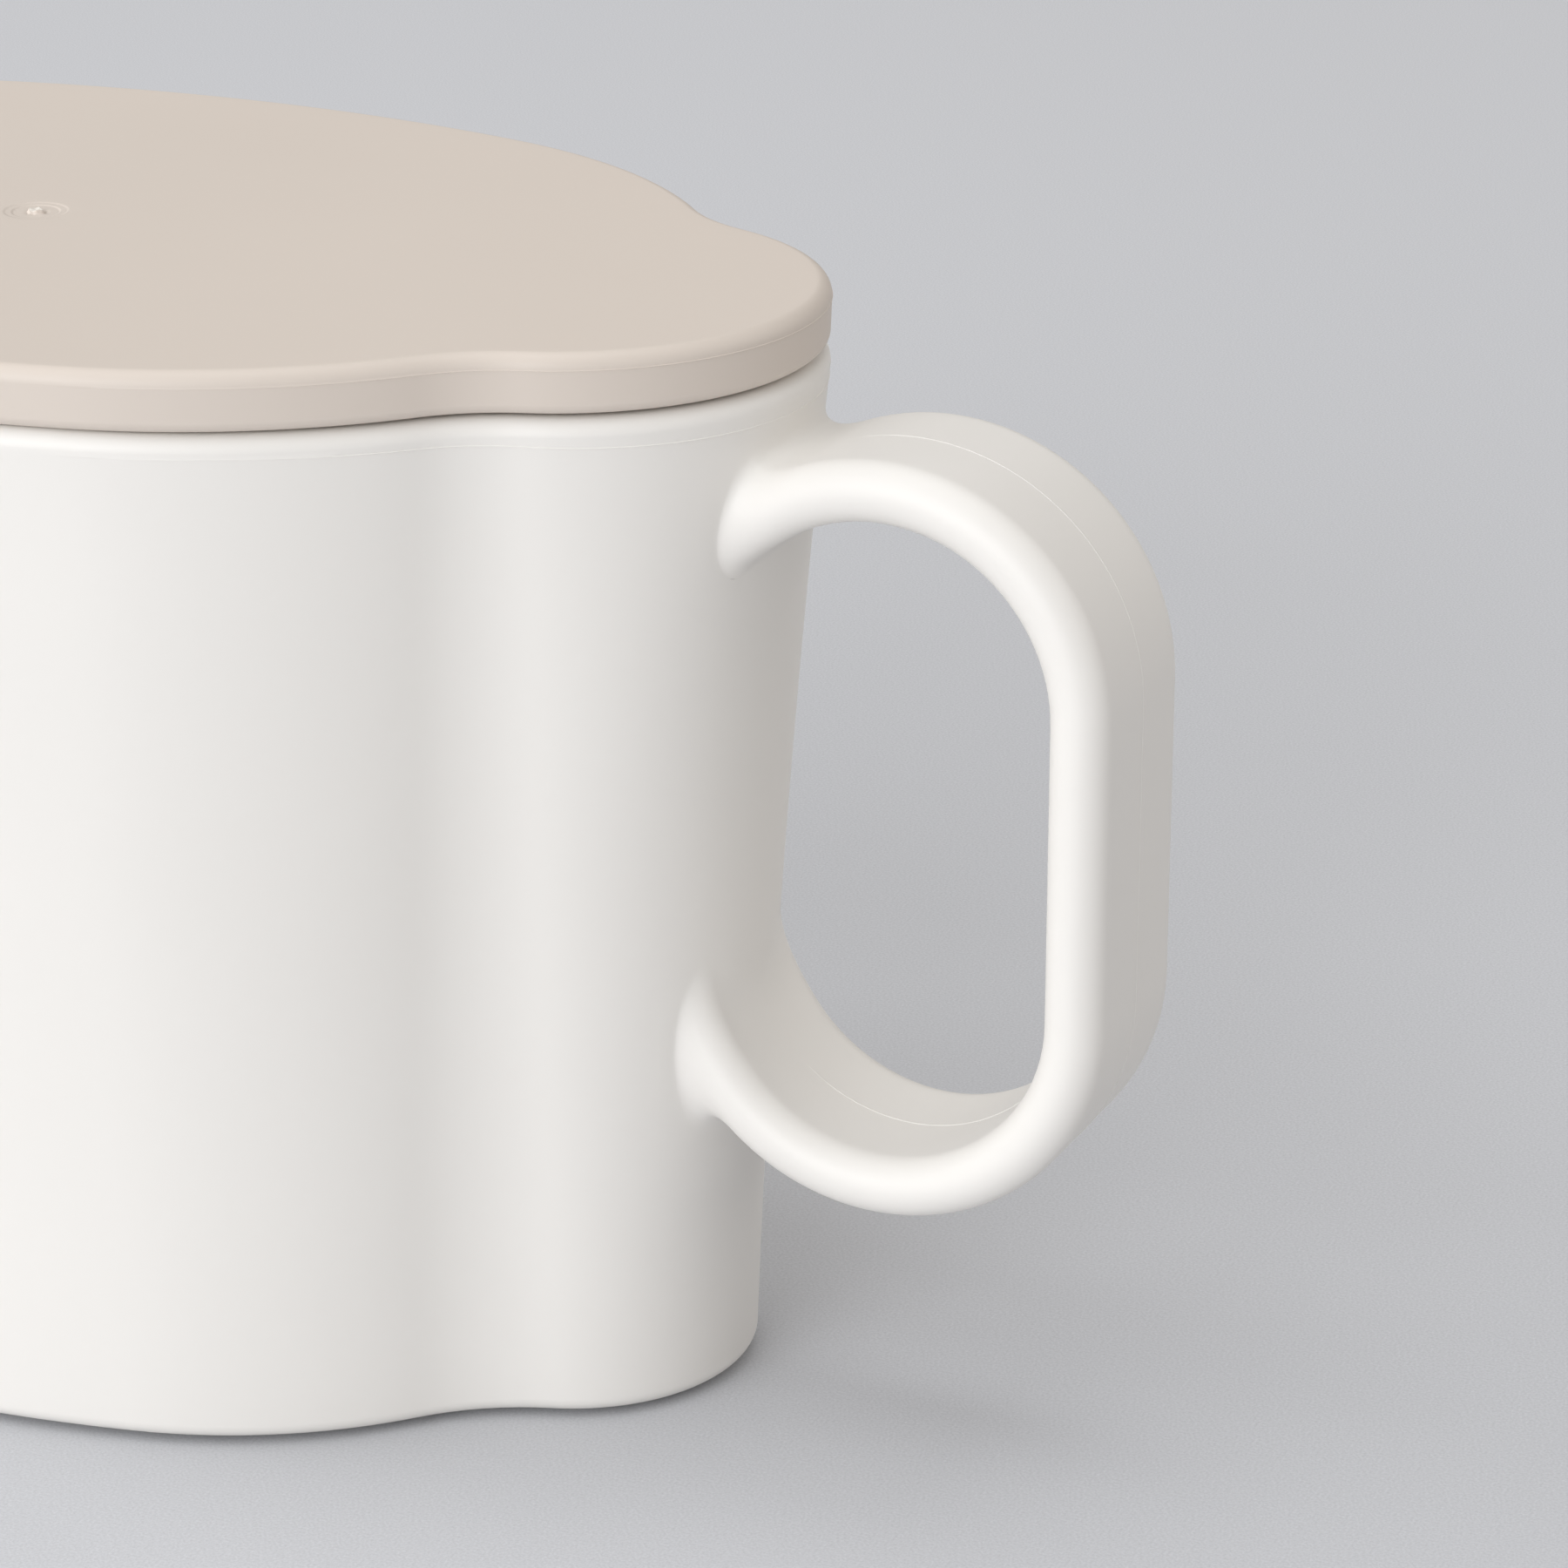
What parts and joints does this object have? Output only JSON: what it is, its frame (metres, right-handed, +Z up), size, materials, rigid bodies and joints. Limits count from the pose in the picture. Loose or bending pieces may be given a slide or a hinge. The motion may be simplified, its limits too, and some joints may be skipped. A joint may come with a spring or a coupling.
{
  "type": "soup mug",
  "caption": "Moulded soup mug with a lobed oval plan, a looped handle at one end and a flat lid that lifts off.",
  "frame": {"origin": "middle of the cup on the table plane, under the gate mark of the lid", "axes": "+X towards the handle, +Z up, out of the cup's mouth"},
  "size_m": [0.1533, 0.0748, 0.085],
  "materials": {
    "mug_plastic": "fine satin moulded plastic, warm white",
    "lid_plastic": "matte moulded plastic, pale beige"
  },
  "bodies": {
    "mug": {"mug_body": "mug_plastic", "handle": "mug_plastic"},
    "lid": {"lid": "lid_plastic"}
  },
  "joints": [
    {"name": "lid_lift", "type": "slide", "parent": "mug", "child": "lid", "axis": [0, 0, 1], "range_m": [0, 0.1]}
  ]
}
